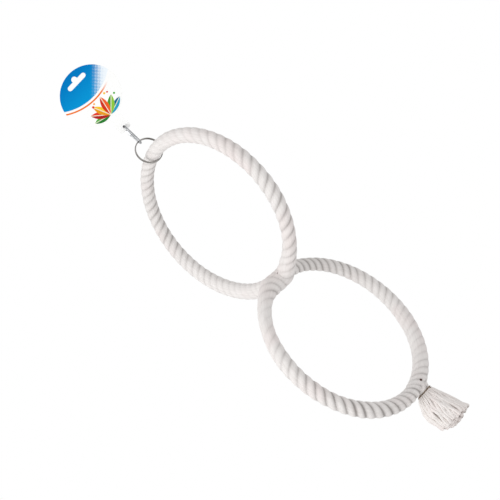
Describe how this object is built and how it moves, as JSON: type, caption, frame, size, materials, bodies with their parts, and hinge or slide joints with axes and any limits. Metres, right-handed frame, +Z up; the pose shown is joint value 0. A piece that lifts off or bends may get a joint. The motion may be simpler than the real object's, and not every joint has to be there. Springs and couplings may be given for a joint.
{
  "type": "bird rope with rings",
  "caption": "Hanging bird perch: one thick cotton rope laid in a figure of eight, with a quick link, a split ring and a euro-slot card above and a frayed tassel below.",
  "frame": {"origin": "where the shop peg carries the card: the top of the euro slot's bump, on the card's middle plane", "axes": "+Z up along the hang line, card in the XZ plane, printed side facing -Y, +X to the right seen from the front"},
  "size_m": [0.1754, 0.2023, 0.7007],
  "materials": {
    "printed_card": "satin",
    "zinc_plated_steel": "satin",
    "nickel_plated_steel": "satin",
    "cotton_rope": "matte",
    "core_steel": "satin",
    "pin_steel": "satin",
    "brown_wire": "satin",
    "frayed_cotton": "matte"
  },
  "bodies": {
    "header_card": {"header_card": "printed_card"},
    "quick_link": {"quick_link": "zinc_plated_steel"},
    "link_sleeve": {"quick_link_sleeve": "zinc_plated_steel"},
    "split_ring": {"split_ring": "nickel_plated_steel"},
    "rope_rings": {"rope": "cotton_rope", "core_wire": "core_steel", "crossing_pin": "pin_steel", "tassel_pin": "pin_steel", "binding_wire": "brown_wire"},
    "tassel": {"tassel_strand_1": "frayed_cotton", "tassel_strand_2": "frayed_cotton", "tassel_strand_3": "frayed_cotton", "tassel_strand_4": "frayed_cotton", "tassel_strand_5": "frayed_cotton", "tassel_strand_6": "frayed_cotton"}
  },
  "joints": [
    {"name": "link_swing", "type": "hinge", "parent": "header_card", "child": "quick_link", "pos_m": [0, 0, -0.0985], "axis": [-0.2079, 0.9781, 0], "range_deg": [-45, 45]},
    {"name": "sleeve_travel", "type": "slide", "parent": "quick_link", "child": "link_sleeve", "axis": [0, 0, 1], "range_m": [-0.008, 0]},
    {"name": "ring_swing", "type": "hinge", "parent": "quick_link", "child": "split_ring", "pos_m": [0, 0, -0.12765], "axis": [0.866, 0.5, 0], "range_deg": [-30, 30]},
    {"name": "rope_swing", "type": "hinge", "parent": "split_ring", "child": "rope_rings", "pos_m": [0, 0, -0.1541], "axis": [0.6361, -0.7716, 0], "range_deg": [-45, 45]},
    {"name": "tassel_swing", "type": "hinge", "parent": "rope_rings", "child": "tassel", "pos_m": [0.01829, 0.01997, -0.63719], "axis": [-0.7373, 0.6756, 0], "range_deg": [-20, 20]}
  ]
}
